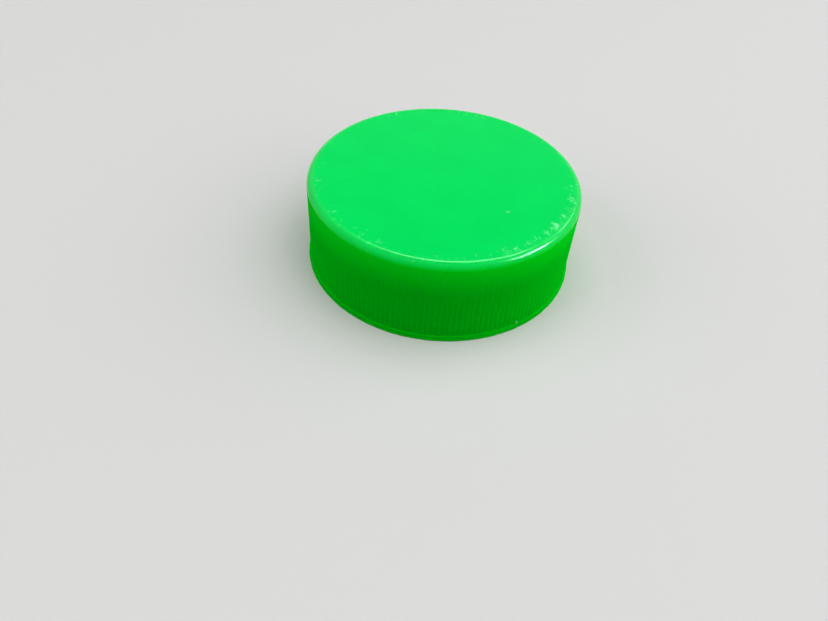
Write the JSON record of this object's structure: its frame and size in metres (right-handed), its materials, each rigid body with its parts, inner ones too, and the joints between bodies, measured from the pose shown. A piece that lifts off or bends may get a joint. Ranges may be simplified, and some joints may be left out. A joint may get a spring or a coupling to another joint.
{
  "type": "bottle cap",
  "caption": "One-piece screw cap for a wide bottle neck, closed top with a rounded edge, fine upright knurl, internal thread and plug seal.",
  "frame": {"origin": "centre of the open rim's plane, which the cap stands on", "axes": "+Z along the cap's axis, from the open rim to the closed top; the thread starts on +X at the mouth"},
  "size_m": [0.041, 0.041, 0.0136],
  "materials": {
    "green_plastic": "semi-gloss moulded polyethylene, bright green"
  },
  "bodies": {
    "root": {"cap": "green_plastic"}
  },
  "joints": []
}
